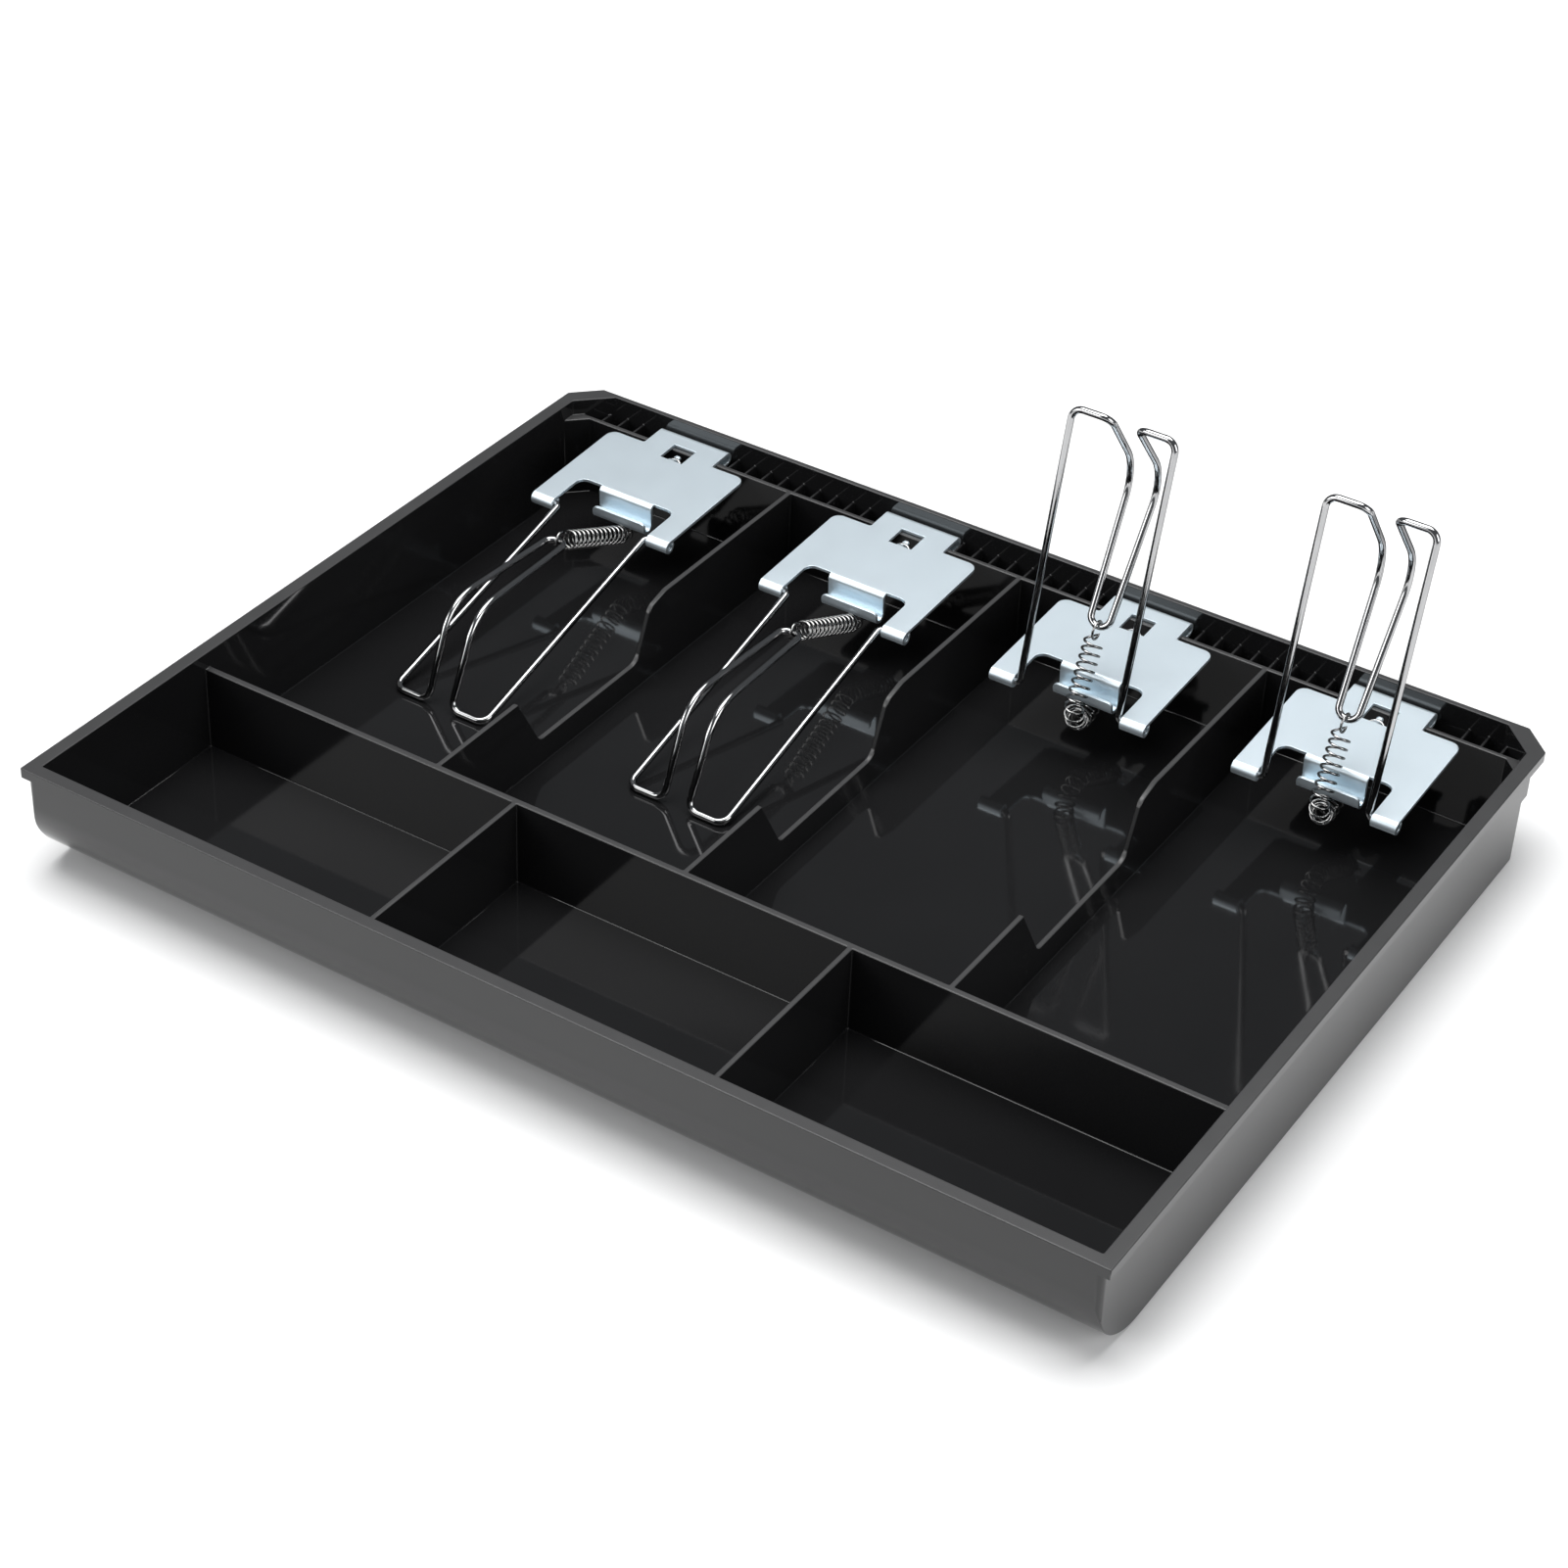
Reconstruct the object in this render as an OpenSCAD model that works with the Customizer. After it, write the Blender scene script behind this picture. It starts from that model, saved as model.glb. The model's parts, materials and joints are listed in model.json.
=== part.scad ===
// Cash drawer insert tray: one black moulding with four note bays and three coin bays,
// and a sprung wire note clip on a steel plate at the back of each note bay.
// X runs across, Y from the front (-) to the back (+), Z up; the origin is under the middle.

/* [Tray] */
// Width over the side lips
tray_w = 325; // [315:1:335]
// Depth over the front and back lips
tray_d = 252; // [248:1:258]
// Height of the rim
tray_h = 33; // [32:0.5:35]
// Thickness of the side walls
side_wall = 2.4; // [2:0.1:2.6]
// Thickness of the front wall at the rim
front_wall = 3.7; // [3:0.1:4]
// Thickness of the floor
floor_t = 2.2; // [1.8:0.1:2.4]
// Radius of the front bottom edge
front_r = 22; // [18:0.5:22]

/* [Rim] */
// How far the lip stands out at each side
lip_side = 1.8; // [1:0.1:2]
// How far the lip stands out at the front and the back
lip_end = 0.3; // [0.2:0.1:0.4]
// Height of the lip's edge
lip_t = 3; // [2:0.5:3]
// Chamfer of the lip's back corners
lip_chamfer = 8; // [7:0.5:9]

/* [Compartments] */
// How far the dividers lie below the rim
divider_drop = 5; // [4:0.5:6]
// Thickness of a divider between two bays
divider_t = 1.5; // [1.2:0.1:2]
// Thickness of the wall between the note bays and the coin bays
cross_t = 2; // [1.5:0.1:2.5]
// Distance of that wall's middle from the front edge of the lip
cross_y = 69.5; // [66:0.5:72]
// How much wider the right coin bay is than the left one
coin_extra = 2; // [0:0.5:4]
// Height of a note divider where it dips for the fingers
dip_z = 10.5; // [8:0.5:14]

/* [Back channel] */
// Depth of the channel behind the back wall, with both of its walls
channel_d = 10.2; // [10:0.1:10.4]
// Height of the channel's underside
channel_z = 19.4; // [18:0.2:20]
// Distance between two ribs
rib_pitch = 5.88; // [5.7:0.01:6]
// Thickness of a rib
rib_t = 0.8; // [0.6:0.1:1]

/* [Clip plate] */
// Thickness of the steel sheet
sheet_t = 1; // [0.8:0.1:1]
// Width of a clip plate
plate_w = 49; // [48:0.5:50]
// Width of the tab at the back of the plate
tab_w = 24.8; // [24:0.2:25.2]
// Width of the tongue that guides the spring
tongue_w = 18.8; // [17:0.2:19]
// Length of the plate from the hinge to its shoulders
plate_l = 39.8; // [39:0.2:40]
// How far a plate leans down to the front, in degrees
plate_lean = 2.9; // [2:0.1:3.2]
// How far each plate lies to the right of its bay's middle
plate_shift = [1.2, 3, 0.6, -3]; // [-3:0.1:3]

/* [Wire clip] */
// Diameter of the clip's wire
wire_d = 2; // [1.8:0.1:2]
// Radial play of the wire in the knuckles
hinge_play = 0.05; // [0.03:0.01:0.08]
// Length of a leg from the hinge to the foot
leg_l = 82.2; // [78:0.2:83]
// How far a raised clip leans back past upright, in degrees
raised_lean = 12; // [8:0.1:13]

/* [Spring] */
// Outer diameter of the coil
coil_d = 6; // [5.6:0.1:6]
// Diameter of the spring's wire
spring_wire = 0.7; // [0.6:0.05:0.8]

/* [Hidden] */
$fn = 64;
cut = 1; // how far a cutting shape runs past the face it opens

// Outside faces of the walls
front_y = -tray_d / 2;
body_front = front_y + lip_end;
body_back = tray_d / 2 - lip_end;
body_hw = tray_w / 2 - lip_side;
body_chamfer = 10.9;
corner_r = 2;
lower_step = 7.9; // the body below the channel is shallower by this
lower_back = body_back - lower_step;
lower_chamfer = 6.7;

// Inside faces of the walls
inner_hw = body_hw - side_wall;
inner_front = body_front + front_wall;
channel_wall = 1.5;
channel_back = body_back - channel_wall;
back_wall_y = tray_d / 2 - channel_d;
back_wall_t = 1.5;
inner_chamfer = 9.5;
lower_inner_chamfer = 5.6;
channel_floor = channel_z + 1.8;
scoop_r = 18;
divider_top = tray_h - divider_drop;
rib_top = divider_top - 1;

// Places of the dividers and the clips
note_bay_w = (2 * inner_hw - 3 * divider_t) / 4;
note_pitch = note_bay_w + divider_t;
coin_bay_w = (2 * inner_hw - 2 * divider_t) / 3;
coin_divider_x = (coin_bay_w + divider_t) / 2;
coin_walls = [-inner_hw - divider_t / 2, -coin_divider_x, coin_divider_x - coin_extra, inner_hw + divider_t / 2];
cross_mid = front_y + cross_y;
dip_front = front_y + 115;
dip_back = front_y + 162;
dip_front_slope = 10;
dip_back_slope = 6.5;
rib_reach = 4; // ribs at each side of a divider
end_ribs = [10, 11, 12]; // steps from the outer dividers to the ribs at each end

// The hinge and the sheet of a clip plate, before the plate leans over the back wall's edge
plate_rest = [back_wall_y, divider_top];
hinge_y = back_wall_y - 42.3;
sheet_top = divider_top + sheet_t;
run_in = 0.15; // how far a straight runs into a bend
bend_extra = 0.02; // how much thicker a bend is
bore_r = wire_d / 2 + hinge_play;
knuckle_r = bore_r + sheet_t;
hinge_z = sheet_top - knuckle_r;
arm_w = 7.5;
tab_end = hinge_y + 48.3;
hook_r = 2.2;
hook_tail = 1.8;
slot_y = hinge_y + 13.5; // back of the openings beside the tongue, where it bends down
bend_r = sheet_t + 0.6;
curl_in = 1.4;
curl_r = curl_in + sheet_t;
curl_y = slot_y - bend_r - curl_in;
curl_z = sheet_top - 6.5;
curl_lip = 2;
window_w = 7.8;
window_y = hinge_y + 36;
anchor_w = 2;
anchor_r = 0.6;
anchor_slope = 45; // the hook goes down and back at this angle
anchor_l = 1.4;
anchor_lip = 10; // how far the hook's end curls past level

// The clip's wire, as distance across, along the leg and above it
leg_hw = 15.6;
foot_hw = 15.8;
foot_inner_hw = 4;
knee = [4.4, 63.5, 22.8];
eye = [3, 20, 10];
pin_end = 23.6;
pin_bend = 1.5;
foot_bend = 3.2;
knee_bend = 14;
eye_bend = 2.9;
foot_clear = 0.2;

// The spring's route round the tongue
coil_mean_r = (coil_d - spring_wire) / 2;
coil_gap = 0.15;
guide_r = curl_r + coil_d / 2 + coil_gap;
raised_slack = 1; // how much farther from the tongue a raised clip's spring hangs
loop_gap = 0.1;
loop_tilt = 35;
eye_loop = coil_mean_r - spring_wire / 2 - wire_d / 2 - loop_gap;

function unit(v) = v / norm(v);

// Where a point [Y, Z] of the level plate comes to when the plate leans
function leaned(p) =
    let (
        d = p - plate_rest,
        c = cos(plate_lean),
        s = sin(plate_lean)
    )
    plate_rest + [d.x * c - d.y * s, d.x * s + d.y * c];

hinge = leaned([hinge_y, hinge_z]);
tail = leaned([window_y - 1.4, sheet_top - 4.1]);
anchor_loop = leaned([
    window_y + 2.65 - coil_mean_r * cos(loop_tilt),
    sheet_top - 1.2 - coil_mean_r * sin(loop_tilt)]);
lowered = asin((hinge.y - floor_t - wire_d / 2 - foot_clear) / leg_l);
raised = -90 - raised_lean;

function turn(a, b, c) = acos(max(-1, min(1, unit(b - a) * unit(c - b))));
function short_way(a) = (a + 540) % 360 - 180;
function bearing(v) = atan2(v.y, v.x);

// The arc that rounds corner b of a-b-c with radius r
function fillet(a, b, c, r, n = 6) =
    let (
        u = unit(a - b),
        v = unit(c - b),
        half = acos(u * v) / 2,
        mid = b + unit(u + v) * r / sin(half),
        start = bearing(b + u * r / tan(half) - mid),
        sweep = short_way(bearing(b + v * r / tan(half) - mid) - start)
    )
    [for (i = [0:n]) mid + r * [cos(start + sweep * i / n), sin(start + sweep * i / n)]];

function flat(p) = [p.x, p.y];

// An outline of corners [x, y, radius]; a radius of 0 leaves the corner sharp
function rounded(pts) =
    let (n = len(pts))
    [for (i = [0:n - 1])
        each (pts[i].z > 0
            ? fillet(flat(pts[(i + n - 1) % n]), flat(pts[i]), flat(pts[(i + 1) % n]), pts[i].z)
            : [flat(pts[i])])];

// Extrudes a side view, drawn as [Y, Z], across X
module across(w) {
    translate([-w / 2, 0, 0])
        rotate([90, 0, 90])
            linear_extrude(height = w)
                children();
}

// A bent strip seen from the side: a ring's arc from angle a0 to a1
module sheet_arc(r_out, r_in, a0, a1) {
    steps = 6;
    far = 2 * r_out;
    intersection() {
        difference() {
            circle(r_out);
            circle(r_in);
        }
        polygon([[0, 0], for (i = [0:steps])
            let (a = a0 + (a1 - a0) * i / steps)
            far * [cos(a), sin(a)]]);
    }
}

// Round wire through pts, with bends[i] the bend radius at the inner point i + 1.
// A straight runs a little way into the bends at its ends, which are a hair thicker.
module wire(pts, bends, d) {
    last = len(pts) - 1;
    cuts = [0, for (i = [1:last - 1]) bends[i - 1] * tan(turn(pts[i - 1], pts[i], pts[i + 1]) / 2), 0];
    for (i = [0:last - 1]) {
        u = unit(pts[i + 1] - pts[i]);
        before = i == 0 ? 0 : run_in - cuts[i];
        after = i == last - 1 ? 0 : run_in - cuts[i + 1];
        translate(pts[i] - u * before)
            rotate([0, acos(u.z), atan2(u.y, u.x)])
                cylinder(h = norm(pts[i + 1] - pts[i]) + before + after, d = d);
    }
    for (i = [1:last - 1]) {
        u = unit(pts[i] - pts[i - 1]);
        w = unit(cross(u, pts[i + 1] - pts[i]));
        inward = cross(w, u);
        centre = pts[i] - u * cuts[i] + inward * bends[i - 1];
        multmatrix([
            [-inward.x, u.x, w.x, centre.x],
            [-inward.y, u.y, w.y, centre.y],
            [-inward.z, u.z, w.z, centre.z],
            [0, 0, 0, 1]])
            rotate_extrude(angle = turn(pts[i - 1], pts[i], pts[i + 1]))
                translate([bends[i - 1], 0])
                    circle(d = d + bend_extra);
    }
}

// Seen from above: straight front, chamfered back corners
module plan(hw, front, back, chamfer, front_corner_r) {
    polygon(rounded([
        [-hw, front, front_corner_r],
        [hw, front, front_corner_r],
        [hw, back - chamfer, 0],
        [hw - chamfer, back, 0],
        [-hw + chamfer, back, 0],
        [-hw, back - chamfer, 0]]));
}

// Side view of the body, with its round front bottom edge
module body_side(top) {
    translate([body_front + front_r, front_r])
        circle(front_r);
    translate([body_front, front_r])
        square([2 * front_r, top - front_r]);
    translate([body_front + front_r, 0])
        square([body_back - body_front - front_r, top]);
}

module tray_outside() {
    intersection() {
        across(tray_w)
            body_side(tray_h);
        union() {
            linear_extrude(height = tray_h)
                plan(body_hw, body_front, lower_back, lower_chamfer, corner_r);
            translate([0, 0, channel_z])
                linear_extrude(height = tray_h - channel_z)
                    plan(body_hw, body_front, body_back, body_chamfer, corner_r);
        }
    }
    translate([0, 0, tray_h - lip_t])
        linear_extrude(height = lip_t)
            plan(tray_w / 2, front_y, tray_d / 2, lip_chamfer, 0);
}

// Side view of a coin bay, with the scoop at its front
module coin_side() {
    back = cross_mid - cross_t / 2;
    translate([inner_front + scoop_r, floor_t + scoop_r])
        circle(scoop_r);
    translate([inner_front, floor_t + scoop_r])
        square([back - inner_front, tray_h - floor_t]);
    translate([inner_front + scoop_r, floor_t])
        square([back - inner_front - scoop_r, tray_h]);
}

module coin_bays() {
    for (i = [0:2])
        translate([(coin_walls[i] + coin_walls[i + 1]) / 2, 0, 0])
            across(coin_walls[i + 1] - coin_walls[i] - divider_t)
                coin_side();
}

module note_bays() {
    front = cross_mid + cross_t / 2;
    for (i = [-1.5:1.5])
        intersection() {
            translate([i * note_pitch - note_bay_w / 2, front, floor_t])
                cube([note_bay_w, back_wall_y - front, tray_h]);
            union() {
                translate([0, 0, floor_t])
                    linear_extrude(height = channel_floor - floor_t)
                        plan(inner_hw, inner_front, back_wall_y, lower_inner_chamfer, 0);
                translate([0, 0, channel_floor])
                    linear_extrude(height = tray_h)
                        plan(inner_hw, inner_front, channel_back, inner_chamfer, 0);
            }
        }
}

// The finger dip that crosses all the note dividers
module divider_dip() {
    top = divider_top + cut;
    across(3 * note_pitch)
        polygon(rounded([
            [dip_front - dip_front_slope, top, 0],
            [dip_front - dip_front_slope, divider_top, 0.8],
            [dip_front, dip_z, 3],
            [dip_back, dip_z, 4],
            [dip_back + dip_back_slope, divider_top - 2, 4],
            [dip_back + dip_back_slope + 8, divider_top + 0.01, 0],
            [dip_back + dip_back_slope + 8, top, 0]]));
}

// The space above the dividers, and the channel behind the back wall
module open_top() {
    translate([0, 0, divider_top])
        linear_extrude(height = tray_h)
            plan(inner_hw, inner_front, channel_back, inner_chamfer, 0);
    intersection() {
        translate([-inner_hw, back_wall_y + back_wall_t, channel_floor])
            cube([2 * inner_hw, channel_d, tray_h]);
        translate([0, 0, channel_floor])
            linear_extrude(height = tray_h)
                plan(inner_hw, inner_front, channel_back, inner_chamfer, 0);
    }
}

module rib(x) {
    bite = 0.2; // how far a rib runs into the walls
    translate([x - rib_t / 2, back_wall_y + back_wall_t - bite, channel_floor - bite])
        cube([rib_t, channel_back - back_wall_y - back_wall_t + 2 * bite, rib_top - channel_floor + bite]);
}

module channel_ribs() {
    for (divider = [-1:1])
        for (i = [-rib_reach:rib_reach])
            rib(divider * note_pitch + i * rib_pitch);
    for (side = [-1, 1])
        for (i = end_ribs)
            rib(side * (note_pitch + i * rib_pitch));
}

module tray() {
    color([0.05, 0.05, 0.055]) {
        difference() {
            tray_outside();
            coin_bays();
            note_bays();
            divider_dip();
            open_top();
        }
        channel_ribs();
    }
}

module plate_outline() {
    hw = plate_w / 2;
    shoulder = hinge_y + plate_l;
    difference() {
        polygon(rounded([
            [-hw, hinge_y, 0],
            [-hw + arm_w, hinge_y, 0],
            [-hw + arm_w, slot_y, 3],
            [hw - arm_w, slot_y, 3],
            [hw - arm_w, hinge_y, 0],
            [hw, hinge_y, 0],
            [hw, shoulder, 3],
            [tab_w / 2, shoulder, 0.8],
            [tab_w / 2, tab_end, 0],
            [-tab_w / 2, tab_end, 0],
            [-tab_w / 2, shoulder, 0.8],
            [-hw, shoulder, 3]]));
        translate([-window_w / 2, window_y])
            square(window_w);
    }
}

// The curl at the front of an arm, which is the clip's bearing
module knuckle() {
    translate([0, hinge_y, hinge_z])
        across(arm_w)
            sheet_arc(knuckle_r, bore_r, 90, 385);
}

// The tongue goes down from the sheet, curls forward and ends in an upright lip
module tongue() {
    across(tongue_w) {
        translate([slot_y, sheet_top - bend_r])
            sheet_arc(bend_r, bend_r - sheet_t, 90, 180);
        translate([slot_y - bend_r, curl_z])
            square([sheet_t, sheet_top - bend_r - curl_z]);
        translate([curl_y, curl_z])
            sheet_arc(curl_r, curl_in, 180, 360);
        translate([curl_y - curl_r, curl_z])
            square([sheet_t, curl_lip]);
    }
}

// The tab's end turns down and forward behind the tray's back wall
module tab_hook() {
    across(tab_w) {
        translate([tab_end, sheet_top - hook_r])
            sheet_arc(hook_r, hook_r - sheet_t, -90, 90);
        translate([tab_end - hook_tail, sheet_top - 2 * hook_r])
            square([hook_tail, sheet_t]);
    }
}

// A narrow hook cut from the window, which holds the spring's end loop
module spring_anchor() {
    across(anchor_w)
        translate([window_y, sheet_top - bend_r]) {
            sheet_arc(bend_r, bend_r - sheet_t, 90 - anchor_slope, 90);
            rotate(-anchor_slope) {
                translate([0, bend_r - sheet_t])
                    square([anchor_l, sheet_t]);
                translate([anchor_l, bend_r + anchor_r])
                    sheet_arc(anchor_r + sheet_t, anchor_r, 270, 360 + anchor_slope + anchor_lip);
            }
        }
}

module level_plate() {
    translate([0, 0, sheet_top - sheet_t])
        linear_extrude(height = sheet_t)
            plate_outline();
    for (side = [-1, 1])
        translate([side * (plate_w - arm_w) / 2, 0, 0])
            knuckle();
    tongue();
    tab_hook();
    spring_anchor();
}

// The middle of the plate in bay 0, 1, 2 or 3, counted from the left
function plate_x(bay) = (bay - 1.5) * note_pitch + plate_shift[bay];

module clip_plate(bay) {
    color([0.80, 0.85, 0.88])
        translate([plate_x(bay), plate_rest.x, plate_rest.y])
            rotate([plate_lean, 0, 0])
                translate([0, -plate_rest.x, -plate_rest.y])
                    level_plate();
}

// One bent wire: a pin, a leg, a foot, a knee, the eye for the spring, and back again.
// dip is the angle of the legs below level.
module wire_clip(bay, dip) {
    half = [
        [pin_end, 0, 0],
        [leg_hw, 0, 0],
        [foot_hw, leg_l, 0],
        [foot_inner_hw, leg_l, 0],
        knee,
        eye];
    right = [for (p = half) [p.x, -p.y, p.z]];
    left = [for (i = [len(half) - 1:-1:0]) [-half[i].x, -half[i].y, half[i].z]];
    points = concat(right, left);
    half_bends = [pin_bend, foot_bend, foot_bend, knee_bend, eye_bend];
    color([0.78, 0.78, 0.80])
        translate([plate_x(bay), hinge.x, hinge.y])
            rotate([dip, 0, 0])
                wire(points, concat(half_bends, [for (i = [4:-1:0]) half_bends[i]]), wire_d);
}

// Where the spring's loop lies round the eye, as [Y, Z]
function eye_place(dip) =
    hinge + [-eye.y * cos(dip) - eye.z * sin(dip), -eye.y * sin(dip) + eye.z * cos(dip)];

module loop(centre, tilt) {
    translate([0, centre.x, centre.y])
        rotate(tilt)
            rotate_extrude()
                translate([coil_mean_r, 0])
                    circle(d = spring_wire);
}

// A plain bar in place of the coil, from the anchor, close under the tongue and up to the eye,
// or hanging below it by slack
module clip_spring(bay, dip, slack) {
    guide = leaned([curl_y, curl_z]) - [0, slack];
    round_r = guide_r + slack;
    from_eye = guide - eye_place(dip);
    reach = norm(from_eye);
    lead = bearing(from_eye) - asin(round_r / reach);
    ahead = [cos(lead), sin(lead)];
    loop_centre = eye_place(dip) + ahead * eye_loop;
    coil_start = loop_centre + ahead * coil_mean_r;
    to_tail = tail - guide;
    leave = bearing(to_tail) - acos(round_r / norm(to_tail));
    touch = lead - 90;
    tail_point = guide + round_r * [cos(leave), sin(leave)];
    touch_point = guide + round_r * [cos(touch), sin(touch)];
    color([0.72, 0.72, 0.74])
        translate([plate_x(bay), 0, 0]) {
            tube(coil_start, touch_point + run_in * ahead);
            translate([0, guide.x, guide.y])
                rotate([90, 0, 90])
                    rotate([0, 0, touch])
                        rotate_extrude(angle = short_way(leave - touch))
                            translate([round_r, 0])
                                circle(d = coil_d + bend_extra);
            tube(tail_point - run_in * unit(tail - tail_point), tail);
            loop(loop_centre, [0, 90, 0]);
            loop(anchor_loop, [loop_tilt + plate_lean, 0, 0]);
        }
}

// A round bar between two points of the side view
module tube(a, b) {
    translate([0, a.x, a.y])
        rotate([bearing(b - a) - 90, 0, 0])
            cylinder(h = norm(b - a), d = coil_d);
}

tray();
clip_plate(0);  // clip_plate_1
clip_plate(1);  // clip_plate_2
clip_plate(2);  // clip_plate_3
clip_plate(3);  // clip_plate_4
wire_clip(0, lowered);  // wire_clip_1
wire_clip(1, lowered);  // wire_clip_2
wire_clip(2, raised);  // wire_clip_3
wire_clip(3, raised);  // wire_clip_4
clip_spring(0, lowered, 0);  // clip_spring_1
clip_spring(1, lowered, 0);  // clip_spring_2
clip_spring(2, raised, raised_slack);  // clip_spring_3
clip_spring(3, raised, raised_slack);  // clip_spring_4
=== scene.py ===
"""A cash drawer insert tray with four sprung wire note clips, two lowered and two raised."""

import json
import math

import bmesh
import bpy
import numpy as np
from mathutils import Matrix, Vector


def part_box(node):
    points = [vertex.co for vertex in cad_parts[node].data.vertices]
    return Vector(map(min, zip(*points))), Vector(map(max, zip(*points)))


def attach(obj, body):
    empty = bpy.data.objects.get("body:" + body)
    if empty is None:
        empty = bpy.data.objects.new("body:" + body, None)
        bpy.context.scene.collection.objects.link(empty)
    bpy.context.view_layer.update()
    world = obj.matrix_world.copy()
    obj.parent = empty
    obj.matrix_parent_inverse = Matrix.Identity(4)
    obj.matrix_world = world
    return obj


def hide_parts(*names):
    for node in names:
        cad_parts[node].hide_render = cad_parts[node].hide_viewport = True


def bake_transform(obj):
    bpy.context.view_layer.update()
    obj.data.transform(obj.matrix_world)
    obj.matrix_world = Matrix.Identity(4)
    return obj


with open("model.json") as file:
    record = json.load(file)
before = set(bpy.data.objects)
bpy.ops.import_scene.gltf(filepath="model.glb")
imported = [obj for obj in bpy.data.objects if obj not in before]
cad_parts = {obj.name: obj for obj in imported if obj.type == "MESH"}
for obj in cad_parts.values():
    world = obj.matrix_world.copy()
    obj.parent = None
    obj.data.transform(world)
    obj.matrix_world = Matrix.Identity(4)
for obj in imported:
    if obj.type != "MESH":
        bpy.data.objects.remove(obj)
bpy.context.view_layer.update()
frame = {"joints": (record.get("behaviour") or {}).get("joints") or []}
MM = 0.001

# ---------------------------------------------------------------- sizes, in millimetres
tray_lo, tray_hi = (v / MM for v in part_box("tray"))
TRAY_W, TRAY_D, TRAY_H = tray_hi - tray_lo
JOINTS = {j["child"]: j for j in frame["joints"]}
CLIPS = sorted(JOINTS)
HINGE = {c: Vector(JOINTS[c]["pos_m"]) / MM for c in CLIPS}
LOWERED = {c: JOINTS[c]["range_deg"][0] == 0 for c in CLIPS}

# tray
SIDE_WALL, FRONT_WALL, FLOOR = 2.4, 3.7, 2.2
LIP_SIDE, LIP_END, LIP_T, LIP_CHAMFER = 1.8, 0.3, 3.0, 8.0
FRONT_R, SCOOP_R, CORNER_R = 22.0, 18.0, 2.0
BODY_CHAMFER, LOWER_STEP, LOWER_CHAMFER = 10.9, 7.9, 6.7
INNER_CHAMFER, LOWER_INNER_CHAMFER = 9.5, 5.6
CHANNEL_D, CHANNEL_Z, CHANNEL_T, CHANNEL_WALL, BACK_WALL_T = 10.2, 19.4, 1.8, 1.5, 1.5
DIVIDER_DROP, DIVIDER_T, CROSS_T, CROSS_Y = 5.0, 1.5, 2.0, 69.5
DIP_Z, DIP_FRONT, DIP_BACK = 10.5, 115.0, 162.0
RIB_PITCH, RIB_T = 5.88, 0.8

FRONT_Y = -TRAY_D / 2
BODY_FRONT, BODY_BACK = FRONT_Y + LIP_END, TRAY_D / 2 - LIP_END
BODY_HW = TRAY_W / 2 - LIP_SIDE
LOWER_BACK = BODY_BACK - LOWER_STEP
INNER_HW = BODY_HW - SIDE_WALL
INNER_FRONT = BODY_FRONT + FRONT_WALL
BACK_WALL_Y = TRAY_D / 2 - CHANNEL_D
CHANNEL_BACK = BODY_BACK - CHANNEL_WALL
CHANNEL_FLOOR = CHANNEL_Z + CHANNEL_T
DIVIDER_TOP = TRAY_H - DIVIDER_DROP
NOTE_W = (2 * INNER_HW - 3 * DIVIDER_T) / 4
NOTE_PITCH = NOTE_W + DIVIDER_T
COIN_DIVIDER_X = (2 * INNER_HW + DIVIDER_T) / 6
COIN_EXTRA = 2.0  # the right coin bay is this much wider
COIN_WALLS = [-INNER_HW - DIVIDER_T / 2, -COIN_DIVIDER_X, COIN_DIVIDER_X - COIN_EXTRA,
              INNER_HW + DIVIDER_T / 2]
CROSS_MID = FRONT_Y + CROSS_Y

# clip plate, drawn level and then leaned over the front edge of the tray's back wall
PLATE_LEAN = math.radians(2.9)
PLATE_REST = Vector((0, BACK_WALL_Y, DIVIDER_TOP))
SHEET = 1.0
SHEET_TOP = DIVIDER_TOP + SHEET
PLATE_HW, ARM_W, TAB_HW, TONGUE_HW = 24.5, 7.5, 12.4, 9.4
BORE_R = 1.05
TONGUE_END_R, TAB_END_R, ANCHOR_END_R = 1.6, 1.2, 0.5
HINGE_Y, HINGE_Z = BACK_WALL_Y - 42.3, SHEET_TOP - SHEET - BORE_R
BEND_R, HOOK_R, HOOK_TAIL = 1.6, 2.2, 1.8
SLOT_Y = HINGE_Y + 13.5
SHOULDER_Y = HINGE_Y + 39.8
TAB_END = HINGE_Y + 48.3
CURL_IN, CURL_LIP = 1.4, 2.0
CURL_R = CURL_IN + SHEET
CURL = Vector((0, SLOT_Y - BEND_R - CURL_IN, SHEET_TOP - 6.5))
WINDOW_W, WINDOW_Y = 7.8, HINGE_Y + 36
ANCHOR_HW, ANCHOR_R, ANCHOR_SLOPE, ANCHOR_L = 1.0, 0.6, 45, 1.4

# wire and spring
WIRE_R = 1.0
LEG_L, RAISED_LEAN = 82.2, 12
PIN, LEG, FOOT = Vector((23.6, 0, 0)), Vector((15.6, 0, 0)), Vector((15.8, -LEG_L, 0))
FOOT_INNER, KNEE, EYE = Vector((4, -LEG_L, 0)), Vector((4.4, -63.5, 22.8)), Vector((3, -20, 10))
WIRE_BENDS = [1.5, 3.2, 3.2, 14, 2.9]
WIRE_GAP = 0.2  # between a lowered foot and the floor
COIL_R, COIL_WIRE_R, COIL_PITCH = 2.65, 0.35, 2.42
GUIDE_R = CURL_R + COIL_R + COIL_WIRE_R + 0.15
SLACK = 1.0  # how far a raised clip's spring hangs below the tongue


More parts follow.
